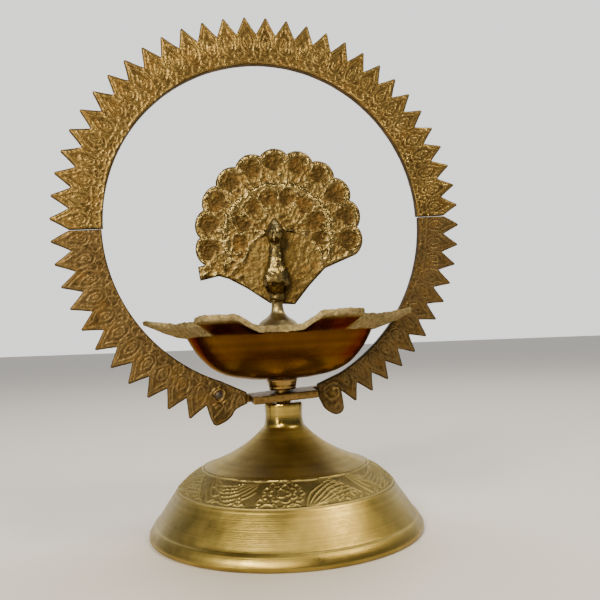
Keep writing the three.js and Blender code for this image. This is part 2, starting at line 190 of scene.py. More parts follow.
def bend(*points, count=8):
    """A smooth line through the points (Catmull-Rom)."""
    p = np.array([points[0], *points, points[-1]], float)
    t = np.linspace(0, 1, count, endpoint=False)[:, None]
    parts = []
    for a, b, c, d in zip(p, p[1:], p[2:], p[3:]):
        parts.append(
            0.5 * (2 * b + (c - a) * t + (2 * a - 5 * b + 4 * c - d) * t**2 + (3 * b - a - 3 * c + d) * t**3)
        )
    return np.vstack([*parts, p[-1:]])


def spiral(cx, cy, start, end, turns, first=0.0, count=40):
    """A spiral from one radius to another."""
    at = np.linspace(0, 1, count)
    radius = start + (end - start) * at
    angle = first + 2 * math.pi * turns * at
    return np.column_stack([cx + radius * np.cos(angle), cy + radius * np.sin(angle)])


def distance(points, line):
    """How far each point is from a line of segments."""
    best = np.full(len(points), 1e9)
    for a, b in zip(line, line[1:]):
        along = b - a
        share = ((points - a) @ along) / max(along @ along, 1e-9)
        away = points - a - np.clip(share, 0, 1)[:, None] * along
        best = np.minimum(best, (away**2).sum(1))
    return np.sqrt(best)


def ridge(points, lines, width, height):
    """The height of rounded ridges along the lines."""
    total = np.zeros(len(points))
    for line in lines:
        total = np.maximum(total, height * np.exp(-((distance(points, line) / width) ** 2)))
    return total


def step(value, start, end):
    """0 before start, 1 after end, smooth between."""
    t = np.clip((value - start) / (end - start), 0, 1)
    return t * t * (3 - 2 * t)


def lumps(points, scale, octaves=3, seed=0.0):
    """Smooth noise of about -1 to 1 at 3-D points in millimetres; scale is the size of a lump."""
    shift = Vector((seed, seed, 0))
    return np.array([noise.fractal(Vector(p) / scale + shift, 0.6, 2.1, octaves) for p in points])


def upright(points, depth=0.0):
    """Flat points as 3-D ones that stand in the XZ plane, at a depth or each at its own."""
    return np.column_stack([points[:, 0], np.broadcast_to(depth, len(points)), points[:, 1]])


# ---- meshes --------------------------------------------------------------------------------


def piece(name, verts, faces, place, body, material, nodes=(), relief=None, raw=None):
    """A new piece of the lamp. It rides on a body, and stands for the CAD nodes given."""
    mesh = bpy.data.meshes.new(name)
    mesh.from_pydata([tuple(v) for v in np.asarray(verts) * MM], [], [tuple(f) for f in faces])
    mesh.validate()
    mesh.polygons.foreach_set("use_smooth", [True] * len(mesh.polygons))
    mesh.set_sharp_from_angle(angle=math.radians(55))
    for label, values in (("relief", relief), ("raw", raw)):
        if values is not None:
            layer = mesh.attributes.new(label, "FLOAT", "POINT")
            layer.data.foreach_set("value", np.asarray(values, np.float32))
    mesh.materials.append(material)
    obj = bpy.data.objects.new(name, mesh)
    bpy.context.scene.collection.objects.link(obj)
    obj.matrix_world = place
    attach(obj, body)
    if nodes:
        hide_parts(*nodes)


def around(columns):
    """Evenly spaced angles of a full turn."""
    return np.linspace(0, 2 * math.pi, columns, endpoint=False)


def tube_faces(rows, columns, closed=False):
    """Four-sided faces between rings of points; closed joins the last ring to the first."""
    faces = []
    for i in range(rows if closed else rows - 1):
        for j in range(columns):
            k = (j + 1) % columns
            n = (i + 1) % rows
            faces.append((i * columns + j, i * columns + k, n * columns + k, n * columns + j))
    return faces


def lathe(profile, columns, closed=True):
    """Verts [row, column], faces and angles of a turned shape.

    The faces look outward when the profile runs anticlockwise.
    """
    angle = around(columns)
    radius, height = np.array(profile, float).T
    x, y = np.outer(radius, np.cos(angle)), np.outer(radius, np.sin(angle))
    verts = np.stack([x, y, np.outer(height, np.ones(columns))], 2)
    return verts, tube_faces(len(profile), columns, closed), angle


def resampled(outline, spacing):
    """A closed outline with its corners kept and points about a spacing apart between them."""
    parts = []
    for a, b in zip(outline, np.roll(outline, -1, 0)):
        count = max(1, round(np.linalg.norm(b - a) / spacing))
        parts.append(a + (b - a) * np.linspace(0, 1, count, endpoint=False)[:, None])
    return np.vstack(parts)


def inside(points, outline):
    """Which points lie inside a closed outline."""
    found = np.zeros(len(points), bool)
    x, z = points.T
    for (x1, z1), (x2, z2) in zip(outline, np.roll(outline, -1, 0)):
        if z1 != z2:
            found ^= ((z1 > z) != (z2 > z)) & (x < (x2 - x1) * (z - z1) / (z2 - z1) + x1)
    return found


PLATE_SPACING = 0.28  # between a plate's mesh points
PLATE_GRIT = 0.06  # how rough the sand left a plate's front


def plate(outline, front, back, relief, edge=0.45):
    """A cast plate in XZ with relief on its front, which faces -Y. Gives verts, faces and relief, with
    painted shade on its walls and front edge.
    """
    outline = np.array(outline, float)
    border = resampled(outline, PLATE_SPACING)
    count = len(border)
    tree = kdtree.KDTree(count)
    for i, (x, z) in enumerate(border):
        tree.insert((x, 0, z), i)
    tree.balance()
    low, high = border.min(0), border.max(0)
    grid = []
    for i, z in enumerate(np.arange(low[1], high[1], PLATE_SPACING * 0.866)):
        start = low[0] + (i % 2) * PLATE_SPACING / 2
        grid += [(x, z) for x in np.arange(start, high[0], PLATE_SPACING)]
    grid = np.array(grid)
    grid = grid[inside(grid, outline)]
    near = np.array([tree.find((x, 0, z))[2] for x, z in grid])
    grid = grid[near > PLATE_SPACING * 0.6]
    flat = [Vector(p) for p in np.vstack([border, grid])]
    found = geometry.delaunay_2d_cdt(flat, [], [list(range(count))], 1, 1e-6, False)
    points = np.array([tuple(v) for v in found[0]])
    triangles = np.array([tuple(f) for f in found[2]])
    triangles = triangles[inside(points[triangles].mean(1), outline)]
    total = len(points)
    away = np.array([tree.find((x, 0, z))[2] for x, z in points])
    height = relief(points, away)
    fall = np.clip(1 - away / edge, 0, 1)
    rounding = edge * 0.55 * (1 - np.sqrt(np.clip(1 - fall**2, 0, 1)))
    skin = upright(points)
    grit = PLATE_GRIT * lumps(skin, 1.6)
    front_verts = upright(points, front + rounding - height - grit)
    dents = 0.16 * lumps(skin, 4.0, seed=7.0) + 0.05 * lumps(skin, 0.9, 2, 3.0)
    back_verts = upright(points, back - rounding + dents)
    bulge = 0.1 * lumps(upright(border, 9.0), 2.2)
    wall_verts = upright(border, (front + back) / 2 + bulge)
    faces = [(a, c, b) for a, b, c in triangles]
    faces += [(a + total, b + total, c + total) for a, b, c in triangles]
    for i in range(count):
        j = (i + 1) % count
        faces.append((i, j, 2 * total + j, 2 * total + i))
        faces.append((2 * total + i, 2 * total + j, total + j, total + i))
    verts = np.vstack([front_verts, back_verts, wall_verts])
    # painted shade: the side walls are set to -0.3 and the front darkens toward its outer edge, so both take
    # the darkest recess colour
    shade = np.concatenate([height - 0.5 * fall**2, np.full(total, 0.12) + dents, np.full(count, -0.3)])
    return verts, faces, shade


def worn_copy(node, name, material):
    """A CAD node's shape with rounded, slightly hammered edges."""
    source = frame["nodes"][node]
    obj = bpy.data.objects.new(name, source.data.copy())
    bpy.context.scene.collection.objects.link(obj)
    remesh = obj.modifiers.new("voxels", "REMESH")
    remesh.mode = "VOXEL"
    remesh.voxel_size = 0.3 * MM
    relax = obj.modifiers.new("relax", "SMOOTH")
    relax.iterations = 4
    depsgraph = bpy.context.evaluated_depsgraph_get()
    mesh = bpy.data.meshes.new_from_object(obj.evaluated_get(depsgraph))
    obj.modifiers.clear()
    obj.data = mesh
    at = np.array([v.co for v in mesh.vertices]) / MM
    normals = np.array([v.normal for v in mesh.vertices])
    moved = at + normals * (0.05 * lumps(at, 1.8))[:, None]
    mesh.vertices.foreach_set("co", (moved * MM).ravel())
    mesh.polygons.foreach_set("use_smooth", [True] * len(mesh.polygons))
    mesh.materials.clear()
    mesh.materials.append(material)
    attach(obj, source["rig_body"])
    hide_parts(node)


# ---- materials -----------------------------------------------------------------------------


class Shader:
    """A small helper that builds one material's nodes."""

    def __init__(self, name):
        self.material = bpy.data.materials.new(name)
        self.material.use_nodes = True
        self.tree = self.material.node_tree
        self.surface = self.tree.nodes["Principled BSDF"]
        self.surface.inputs["Metallic"].default_value = 1.0
        self.place = self.add("ShaderNodeTexCoord").outputs["Object"]

    def add(self, kind, **values):
        node = self.tree.nodes.new(kind)
        for key, value in values.items():
            setattr(node, key, value)
        return node

    def link(self, source, target):
        self.tree.links.new(source, target)

    def noise(self, size, detail=4, rough=0.6):
        """Noise of 0 to 1 whose lumps are about the size given, in millimetres."""
        node = self.add("ShaderNodeTexNoise")
        node.inputs["Scale"].default_value = 1 / (size * MM)
        node.inputs["Detail"].default_value = detail
        node.inputs["Roughness"].default_value = rough
        self.link(self.place, node.inputs["Vector"])
        return node.outputs["Fac"]

    def height(self):
        """How far up the piece's own Z axis a point is, in metres."""
        split = self.add("ShaderNodeSeparateXYZ")
        self.link(self.place, split.inputs["Vector"])
        return split.outputs["Z"]

    def rings(self, size):
        """Noise that depends on height alone: the marks a lathe tool leaves."""
        node = self.add("ShaderNodeTexNoise", noise_dimensions="1D")
        node.inputs["Scale"].default_value = 1 / (size * MM)
        node.inputs["Detail"].default_value = 3
        self.link(self.height(), node.inputs["W"])
        return node.outputs["Fac"]

    def attribute(self, name):
        return self.add("ShaderNodeAttribute", attribute_name=name).outputs["Fac"]

    def ramp(self, source, *stops):
        """Maps a value to a colour or level; stops are (position, colour or level)."""
        node = self.add("ShaderNodeValToRGB")
        elements = node.color_ramp.elements
        while len(elements) < len(stops):
            elements.new(0.5)
        for element, (position, value) in zip(elements, stops):
            element.position = position
            element.color = (*value, 1) if isinstance(value, tuple) else (value, value, value, 1)
        self.link(source, node.inputs["Fac"])
        return node.outputs["Color"]

    def math(self, operation, a, b):
        node = self.add("ShaderNodeMath", operation=operation)
        for value, socket in ((a, node.inputs[0]), (b, node.inputs[1])):
            if isinstance(value, (int, float)):
                socket.default_value = value
            else:
                self.link(value, socket)
        return node.outputs[0]

    def mix(self, share, a, b, blend="MIX"):
        node = self.add("ShaderNodeMix", data_type="RGBA", blend_type=blend)
        for value, socket in ((share, node.inputs[0]), (a, node.inputs[6]), (b, node.inputs[7])):
            if isinstance(value, tuple):
                socket.default_value = (*value, 1)
            elif isinstance(value, (int, float)):
                socket.default_value = value
            else:
                self.link(value, socket)
        return node.outputs[2]

    def bump(self, height, depth, before=None):
        """Adds relief of the depth given, in millimetres, to the normal."""
        node = self.add("ShaderNodeBump")
        node.inputs["Strength"].default_value = 1
        node.inputs["Distance"].default_value = depth * MM
        self.link(height, node.inputs["Height"])
        if before is not None:
            self.link(before, node.inputs["Normal"])
        return node.outputs["Normal"]

    def finish(self, color, rough, normal):
        self.link(color, self.surface.inputs["Base Color"])
        self.link(rough, self.surface.inputs["Roughness"])
        self.link(normal, self.surface.inputs["Normal"])
        return self.material


def turned_brass(name, light, dark, rough, band=False):
    """Satin lathe-turned brass: fine rings, cloudy tarnish, small dark pits.

    With a band, the chased band is dull, and the metal gets shinier up the neck.
    """
    s = Shader(name)
    clouds = s.ramp(s.noise(22, 5), (0.32, dark), (0.66, light))
    streaks = s.ramp(s.rings(0.9), (0.3, 0.82), (0.7, 1.0))
    color = s.mix(1.0, clouds, streaks, "MULTIPLY")
    pits = s.ramp(s.noise(1.1, 2, 0.5), (0.24, 1.0), (0.3, 0.0))
    where = s.ramp(s.noise(9, 3), (0.48, 0.0), (0.62, 1.0))
    pitted = s.math("MULTIPLY", pits, where)
    color = s.mix(s.math("MULTIPLY", pitted, 0.75), color, (0.10, 0.065, 0.02))
    level = s.ramp(s.noise(14, 4), (0.3, rough - 0.08), (0.7, rough + 0.1))
    level = s.math("ADD", level, s.math("MULTIPLY", pitted, 0.25))
    if band:
        raw = s.attribute("raw")
        relief = s.attribute("relief")
        ground = s.ramp(s.noise(2.2, 4), (0.3, (0.16, 0.125, 0.045)), (0.7, (0.25, 0.2, 0.075)))
        crest = s.ramp(relief, (0.0, 0.0), (0.38, 1.0))
        chased = s.mix(crest, ground, (0.50, 0.40, 0.14))
        color = s.mix(raw, color, chased)
        dull = s.ramp(relief, (0.0, 0.6), (0.4, 0.3))
        level = s.mix(raw, level, dull)
        part = s.math("MULTIPLY", s.height(), 1 / (NECK_TOP * MM))
        zone = s.ramp(part, (0.49, 0.3), (0.54, 0.42), (0.76, 0.42), (0.84, 0.14))
        level = s.math("ADD", level, s.math("SUBTRACT", zone, 0.3))
    s.surface.inputs["Anisotropic"].default_value = 0.55
    tangent = s.add("ShaderNodeTangent", direction_type="RADIAL", axis="Z")
    s.link(tangent.outputs["Tangent"], s.surface.inputs["Tangent"])
    normal = s.bump(s.rings(0.28), 0.02)
    normal = s.bump(s.noise(0.9, 3), 0.012, normal)
    normal = s.bump(s.noise(11, 2), 0.12, normal)
    return s.finish(color, level, normal)


def cast_brass(name, ridge_color, field, recess, rough, grain=0.05):
    """Rough cast brass: the relief's recesses hold dark patina and its ridges are worn bright; the plates'
    walls and edges are set low too, so they take the recess colour as painted shade.
    """
    s = Shader(name)
    relief = s.attribute("relief")
    cloud = s.noise(9, 5)
    spots = s.noise(1.3, 4, 0.7)
    height = s.math("ADD", relief, s.math("MULTIPLY", s.math("SUBTRACT", spots, 0.2), 0.5))
    height = s.math("ADD", height, s.math("MULTIPLY", s.math("SUBTRACT", cloud, 0.5), 0.35))
    # low values are patina in the recesses, and painted shade on the plates' walls and edges
    color = s.ramp(height, (0.0, recess), (0.16, field), (0.5, ridge_color))
    rusty = s.ramp(s.noise(5.5, 5, 0.65), (0.5, 0.0), (0.7, 0.7))
    low = s.ramp(height, (0.12, 1.0), (0.45, 0.0))
    color = s.mix(s.math("MULTIPLY", rusty, low), color, (0.19, 0.105, 0.028))
    level = s.ramp(height, (0.0, rough + 0.22), (0.5, rough - 0.08))
    normal = s.bump(s.noise(0.55, 3, 0.6), grain)
    normal = s.bump(s.noise(2.4, 4), grain * 2.2, normal)
    return s.finish(color, level, normal)


def bowl_brass(name):
    """Polished brown brass underneath and inside; the rim is rough as cast, grey-gold and matt."""
    s = Shader(name)
    raw = s.attribute("raw")
    browns = [(0.3, (0.075, 0.028, 0.005)), (0.6, (0.12, 0.052, 0.009)), (0.8, (0.17, 0.09, 0.02))]
    clouds = s.ramp(s.noise(16, 5), *browns)
    centimetres_up = s.math("MULTIPLY", s.math("SUBTRACT", s.height(), BOWL_FLOOR * MM), 100)
    patch = s.ramp(centimetres_up, (0.2, 0.8), (0.75, 0.0))
    clouds = s.mix(patch, clouds, (0.30, 0.21, 0.06))
    streaks = s.ramp(s.rings(1.4), (0.3, 0.8), (0.7, 1.0))
    polished = s.mix(1.0, clouds, streaks, "MULTIPLY")
    greys = [(0.28, (0.12, 0.09, 0.04)), (0.5, (0.30, 0.24, 0.12)), (0.72, (0.46, 0.38, 0.2))]
    sand = s.ramp(s.noise(1.5, 5, 0.7), *greys)
    color = s.mix(raw, polished, sand)
    smooth = s.ramp(s.noise(10, 4), (0.3, 0.2), (0.7, 0.3))
    level = s.mix(raw, smooth, (0.62, 0.62, 0.62))
    s.surface.inputs["Specular Tint"].default_value = (0.55, 0.36, 0.16, 1)
    normal = s.bump(s.rings(0.5), 0.012)
    grit = s.math("MULTIPLY", s.noise(0.6, 4, 0.7), raw)
    normal = s.bump(grit, 0.22, normal)
    normal = s.bump(s.noise(9, 2), 0.15, normal)
    return s.finish(color, level, normal)


def steel(name):
    """A dark steel pin, brown where it has started to rust."""
    s = Shader(name)
    color = s.ramp(s.noise(0.7, 4), (0.35, (0.05, 0.052, 0.055)), (0.7, (0.12, 0.085, 0.06)))
    level = s.ramp(s.noise(0.5, 3), (0.3, 0.35), (0.7, 0.6))
    return s.finish(color, level, s.bump(s.noise(0.4, 3), 0.04))


# light tone, dark tone, roughness
TURNED = turned_brass("turned brass", (0.46, 0.34, 0.088), (0.25, 0.18, 0.042), 0.32, band=True)
DARK_TURNED = turned_brass("dark turned brass", (0.42, 0.28, 0.09), (0.22, 0.13, 0.04), 0.26)
FOOT_BRASS = turned_brass("foot brass", (0.46, 0.38, 0.2), (0.26, 0.2, 0.09), 0.34)
BOWL_BRASS = bowl_brass("bowl brass")
# ridges, field, recesses, roughness
RING_BRASS = cast_brass("ring brass", (0.33, 0.235, 0.075), (0.175, 0.118, 0.04), (0.07, 0.045, 0.016), 0.35)
# the lower arms take a darker copy of the ring brass: painted shade on the lower part of the ring
SHADED_ARM_BRASS = cast_brass("arm brass with painted shade", (0.22, 0.152, 0.057), (0.135, 0.09, 0.036), (0.06, 0.039, 0.015), 0.42)
PEACOCK_BRASS = cast_brass(
    "peacock brass", (0.205, 0.155, 0.06), (0.125, 0.085, 0.028), (0.065, 0.041, 0.014), 0.34, grain=0.1
)
STRAP_BRASS = cast_brass("strap brass", (0.40, 0.27, 0.09), (0.22, 0.14, 0.045), (0.07, 0.04, 0.012), 0.3)
PIN_STEEL = steel("pin steel")

# ---- pedestal ------------------------------------------------------------------------------

BAND_UNITS = 4  # repeats of the foliage around the pedestal
BAND_SHIFT = 8  # turns the band so that a flower head faces the front
BAND_LENGTH = 2 * math.pi * (BAND_LOW[0] + BAND_HIGH[0]) / 2 / BAND_UNITS
BAND_WIDTH = math.hypot(BAND_LOW[0] - BAND_HIGH[0], BAND_HIGH[1] - BAND_LOW[1])


def leaf(x, y, toward, up_or_down, length=15.0, veins=6):
    """A sweeping acanthus leaf: veins that fan out from its foot and curl over at the tip."""
    lines = []
    for i in range(veins):
        part = i / (veins - 1)
        top = y + up_or_down * (8.9 - 6.2 * part)
        far = x + toward * (length * (0.62 + 0.38 * part))
        lines.append(
            bend(
                (x + toward * 0.5 * i, y),
                (x + toward * (1.6 + 1.5 * i), y + up_or_down * (4.2 - 2.6 * part)),
                ((x + far) / 2 + toward * 1.4, top - up_or_down * (1.5 - 0.6 * part)),
                (far, top),
                (far + toward * 1.7, top - up_or_down * 1.0),
                count=6,
            )
        )
    return lines


def band_lines():
    """The chased foliage of one repeat, in millimetres along the band and up across it."""
    lines = []
    # a scaly flower head
    for row, (radius, scales) in enumerate([(0.9, 3), (2.5, 7), (4.1, 11)]):
        for i in range(scales):
            angle = 2 * math.pi * (i + 0.5 * row) / scales
            x, y = 8 + 1.25 * radius * math.cos(angle), 5.6 + radius * math.sin(angle)
            turn = math.degrees(angle)
            lines.append(arc(x, y, 1.05, 0.85, turn - 95, turn + 95, 8))
    # leaves that sweep away from the flower on both sides and meet
    lines += leaf(14.2, 0.9, 1, 1, 16)
    lines += leaf(52.0, 10.0, -1, -1, 15)
    lines += leaf(31.0, 10.2, 1, -1, 8.5, 4)
    lines += leaf(20.0, 10.4, 1, -1, 6, 3)
    # small curls at the feet of the leaves
    for x, y, turn in [(29.6, 3.0, 0.5), (35.2, 8.0, 3.4), (46.6, 2.2, 1.2), (1.6, 2.4, 4.2)]:
        lines.append(spiral(x, y, 1.7, 0.35, 1.2, first=turn, count=18))
    for i in range(7):
        lines.append(arc(3.6 + i * 7.2, 0.9, 1.7, 0.9, 10, 170, 9))
    return lines


def band_relief(along, across):
    """The height of the chased band's relief."""
    wander = 0.35 * np.sin(along / 3.1) + 0.2 * np.sin(along / 1.37 + 2)
    local = np.column_stack([np.mod(along + BAND_SHIFT, BAND_LENGTH), across + 0.25 * wander])
    raised = ridge(local, band_lines(), 0.19, 0.26)
    low_edge = 0.25 * np.exp(-(((across - 0.35) / 0.25) ** 2))
    high_edge = 0.34 * np.exp(-(((across - BAND_WIDTH + 0.6 + 0.25 * wander) / 0.25) ** 2))
    return np.maximum.reduce([raised, low_edge, high_edge])


def flare(start, end, count):
    """Points of the concave flare between the band and the neck."""
    (r0, z0), (r3, z3) = start, end
    p = np.array([[r0, z0], [r0 - 7.5, z0 + 2.6], [r3 + 4.6, z3 - 5.4], [r3, z3]])
    t = np.linspace(0, 1, count)[:, None]
    curve = (1 - t) ** 3 * p[0] + 3 * (1 - t) ** 2 * t * p[1] + 3 * (1 - t) * t**2 * p[2] + t**3 * p[3]
    return [tuple(q) for q in curve]


def straight(start, end, count):
    """Evenly spaced points from start, stopping short of end."""
    return [tuple(p) for p in np.linspace(start, end, count, endpoint=False)]


def pedestal():
    """The hollow turned foot, with its lip crease, chased band and waisted neck."""
    curl = [(0.9, 0), (0.35, 0.12), (0.05, 0.5), (0, 1.0), (0.1, 1.6), (0.75, 2.7)]
    crease = [(1.55, -0.35), (1.85, -0.1), (2.12, 0.02), (2.4, 0.3)]
    lip = [(PEDESTAL_R - inward, z) for inward, z in curl]
    lip += [(PEDESTAL_R - inward, LIP_H + z) for inward, z in crease]
    cone_end = (BAND_LOW[0] + 0.5, BAND_LOW[1] - 0.85)
    cone = straight(lip[-1], cone_end, 14)[1:]
    shoulder = [cone_end, (BAND_LOW[0] + 0.22, BAND_LOW[1] - 0.35)]
    band_rows = 44
    belly = np.sin(np.linspace(0, math.pi, band_rows)) * 0.55
    band = np.linspace(BAND_LOW, BAND_HIGH, band_rows)
    out = np.array([BAND_HIGH[1] - BAND_LOW[1], BAND_LOW[0] - BAND_HIGH[0]]) / BAND_WIDTH
    band = [tuple(p) for p in band + belly[:, None] * out]
    upper = flare((BAND_HIGH[0] - 0.35, BAND_HIGH[1] + 0.12), NECK_FOOT, 26)
    neck = [
        (NECK_R + 0.75, NECK_FOOT[1] + 0.35),
        (NECK_R + 0.35, NECK_FOOT[1] + 1.0),
        (NECK_R + 0.1, NECK_FOOT[1] + 1.8),
        (NECK_R - 0.1, NECK_FOOT[1] + 3.2),
        (NECK_R - 0.12, NECK_FOOT[1] + 5.0),
        (NECK_R - 0.02, NECK_TOP - 1.9),
        (NECK_R + 0.06, NECK_TOP - 1.0),
        (NECK_R + 0.02, NECK_TOP - 0.4),
        (NECK_R - 0.3, NECK_TOP - 0.06),
        (NECK_R - 0.7, NECK_TOP),
        (3.1, NECK_TOP),
        (2.9, NECK_TOP - 0.3),
    ]
    hollow = [
        (2.9, NECK_FOOT[1] - 1),
        (NECK_FOOT[0], NECK_FOOT[1] - 4.6),
        (12, 24.4),
        (18, 20.2),
        (BAND_HIGH[0] - 1, BAND_HIGH[1] - PEDESTAL_WALL),
        (BAND_LOW[0] - 1, BAND_LOW[1] - PEDESTAL_WALL),
        (PEDESTAL_R - 3.4, LIP_H - 0.8),
        (PEDESTAL_R - 3, 0.15),
        (PEDESTAL_R - 2.7, 0),
    ]
    profile = [*lip, *cone, *shoulder, *band, *upper, *neck, *hollow]
    columns = 864
    verts, faces, angle = lathe(profile, columns)
    first = len(lip) + len(cone) + len(shoulder)
    relief = np.zeros(verts.shape[:2])
    raw = np.zeros(verts.shape[:2])
    middle = (BAND_LOW[0] + BAND_HIGH[0]) / 2
    across = np.linspace(0, BAND_WIDTH, band_rows)
    along_grid, across_grid = np.meshgrid(angle * middle, across)
    height = band_relief(along_grid.ravel(), across_grid.ravel()).reshape(band_rows, columns)
    rows = slice(first, first + band_rows)
    relief[rows] = height
    raw[rows] = 1
    lift = height - 0.14
    verts[rows, :, 0] += lift * out[0] * np.cos(angle)
    verts[rows, :, 1] += lift * out[0] * np.sin(angle)
    verts[rows, :, 2] += lift * out[1]
    flat, slot = verts.reshape(-1, 3), "turned_brass"
    piece(
        "pedestal", flat, faces, PEDESTAL, "pedestal", TURNED, ["base"], relief.ravel(), raw.ravel()
    )


# ---- bowl ----------------------------------------------------------------------------------


def petal_at(angle):
    """How far out and up the rim stands at each angle, and how much of it is a wick rest."""
    turn = (angle - PETAL_TURN) / (2 * math.pi / PETALS)
    nearest = np.round(turn)
    off = np.abs(turn - nearest) * 2
    from_dip = np.abs(np.mod(turn, PETALS / 2) - PETALS / 4)
    is_spout = np.mod(nearest, 3) == 0
    share = np.where(is_spout, ((1 + np.cos(math.pi * off)) / 2) ** SPOUT["taper"], 0)
    low = np.where(from_dip < 0.5, DIP_REACH, SIDE_REACH)
    beside = step(from_dip, CUT["from"], CUT["to"])
    side_lift = PETAL["lift"] * step(from_dip, DIP_FROM, DIP_TO) - CUT["drop"] * beside
    petal_reach = low + (PETAL["reach"] - low) * (1 - off ** PETAL["taper"]) * (1 - beside)
    spout_reach = SIDE_REACH + (SPOUT["reach"] - SIDE_REACH) * share
    lift = side_lift + (SPOUT["lift"] - side_lift) * share
    return np.where(is_spout, spout_reach, petal_reach), lift, share, beside


def bowl():
    """The oil bowl. Its underside and inside are turned; its petals are rough as cast."""
    floor = BOWL_FLOOR
    edge_r, edge_z = BOWL_EDGE
    far = edge_r + SPOUT["reach"]
    up_outside = [(BORE_R, 0), (9.6, 0.15), (13.2, 0.6), (16.7, 1.3), (20.3, 2.5), (23.8, 4.5)]
    up_outside += [(26.6, 7.1), (29, 10), (30.7, 12.8)]
    under_key = [(r, floor + z) for r, z in up_outside] + [(edge_r, edge_z)]
    under = [tuple(p) for p in bend(*under_key, count=5)]
    down_inside = [(27.6, 11.4), (24.4, 7.4), (20.4, 4.6), (15, 2.9), (11.4, BOWL_WALL), (BORE_R, BOWL_WALL)]
    above_key = [(edge_r - 0.8, edge_z + BOWL_WALL)] + [(r, floor + z) for r, z in down_inside]
    above = [tuple(p) for p in bend(*above_key, count=5)]
    out = straight((edge_r, edge_z), (far, edge_z + 0.2), 12)[1:]
    rim = [
        (far + 0.25, edge_z + 0.3),
        (far + 0.45, edge_z + 0.9),
        (far + 0.4, edge_z + 1.5),
        (far, edge_z + 2.1),
    ]
    back = straight((far, edge_z + 2.2), (edge_r - 0.8, edge_z + BOWL_WALL), 12)[1:]
    profile = [*under, *out, *rim, *back, *above]
    columns = 540
    verts, faces, angle = lathe(profile, columns)
    reach, lift, spout, beside = petal_at(angle)
    radius = np.array(profile)[:, 0]
    beyond = np.clip((radius - edge_r) / SPOUT["reach"], 0, None)[:, None]
    wider = np.where(beyond > 0, edge_r + reach * beyond, radius[:, None])
    verts[:, :, 0] = wider * np.cos(angle)
    verts[:, :, 1] = wider * np.sin(angle)
    verts[:, :, 2] += lift * beyond ** (0.8 + 0.5 * spout)
    flat = verts.reshape(-1, 3)
    low_row = len(under) + len(out)
    high_row = low_row + len(rim)
    row = np.arange(len(profile))
    near_rim = step(row, low_row - 4, low_row) * step(-row, -high_row - 16, -high_row - 8)
    raw = np.maximum(near_rim[:, None], beside[None, :] * (beyond > 0.02))
    flat[:, 2] += 0.32 * (lumps(flat, 3.2, 4) * raw.ravel())
    outward = flat[:, :2] / np.maximum(np.linalg.norm(flat[:, :2], axis=1), 1)[:, None]
    flat[:, :2] += outward * (0.3 * lumps(flat, 2.1, 4, 5.0) * raw.ravel())[:, None]
    piece("bowl_petalled", flat, faces, UPPER, "bowl", BOWL_BRASS, ["bowl"], raw=raw.ravel())


def collar():
    """The tapered collar under the bowl, with a groove round it."""
    outside = [(2.7, 0), (4.2, 0), (4.6, 0.25), (4.7, 0.8), (4.62, 1.05), (4.8, 1.3), (5.0, 2.2), (5.25, 3.0)]
    profile = [(r, COLLAR_LOW + z) for r, z in outside]
    profile += [(5.4, COLLAR_HIGH - 0.35), (5.25, COLLAR_HIGH), (BORE_R, COLLAR_HIGH)]
    profile += [(BORE_R, COLLAR_LOW + 1.6), (2.7, COLLAR_LOW + 1.6)]
    verts, faces, _ = lathe(profile, 96)
    flat = verts.reshape(-1, 3)
    piece("bowl_collar_turned", flat, faces, UPPER, "bowl", DARK_TURNED, ["bowl_collar"])


# ---- ring ----------------------------------------------------------------------------------


def toothed_edge(first, last, shift=TOOTH_SHIFT, drawn_in=0.0, spread=0.0):
    """The outer edge along teeth first to last, counted clockwise, 0 right of the top."""

    def point(angle, radius):
        along = max(0.0, (angle - ARM_START) / (math.pi - ARM_START))
        return polar(angle + spread * (2 * along) ** 2 / 2, radius * (1 - drawn_in * along))

    edge = [point(first * TOOTH_PITCH + shift, RING_VALLEY)]
    for tooth in range(first, last + 1):
        middle = (tooth + 0.5) * TOOTH_PITCH + shift
        edge.append(point(middle - TOOTH_PITCH * 0.27, RING_VALLEY + 2.6))
        edge.append(point(middle - TOOTH_PITCH * 0.04, RING_TIP - 0.1))
        edge.append(point(middle + TOOTH_PITCH * 0.04, RING_TIP - 0.1))
        edge.append(point(middle + TOOTH_PITCH * 0.27, RING_VALLEY + 2.6))
        edge.append(point(middle + TOOTH_PITCH / 2, RING_VALLEY))
    return edge


def inner_edge(start, end, start_r, end_r, steps):
    """The inner edge from the end back to the start."""
    parts = [i / steps for i in range(steps, -1, -1)]
    return [polar(start + (end - start) * p, start_r + (end_r - start_r) * p**2) for p in parts]


ARM_WEAR = 0.75  # the arms' relief is fainter than the arch's


def tooth_lines():
    """The motif cast in each tooth: half of it, because it is mirrored. Across, then outward."""
    drop = bend((0, 3.6), (0.9, 1.4), (2.1, -1.2), (2.45, -3.6), (1.9, -5.6), (0.8, -6.7), (0, -7.0))
    eye = bend((0, -0.6), (0.85, -2.0), (1.15, -3.6), (0.8, -5.0), (0, -5.5))
    pupil = bend((0, -2.7), (0.35, -3.3), (0.3, -4.1), (0, -4.4))
    leaf = bend((3.25, 0.2), (2.75, -1.4), (3.0, -3.4), (3.3, -4.8))
    curl = arc(2.5, -7.3, 0.85, 0.8, 20, 250, 12)
    scallop = arc(1.65, -9.6, 1.35, 1.1, 0, 180, 12)
    return [drop, eye, pupil, leaf, curl, scallop]


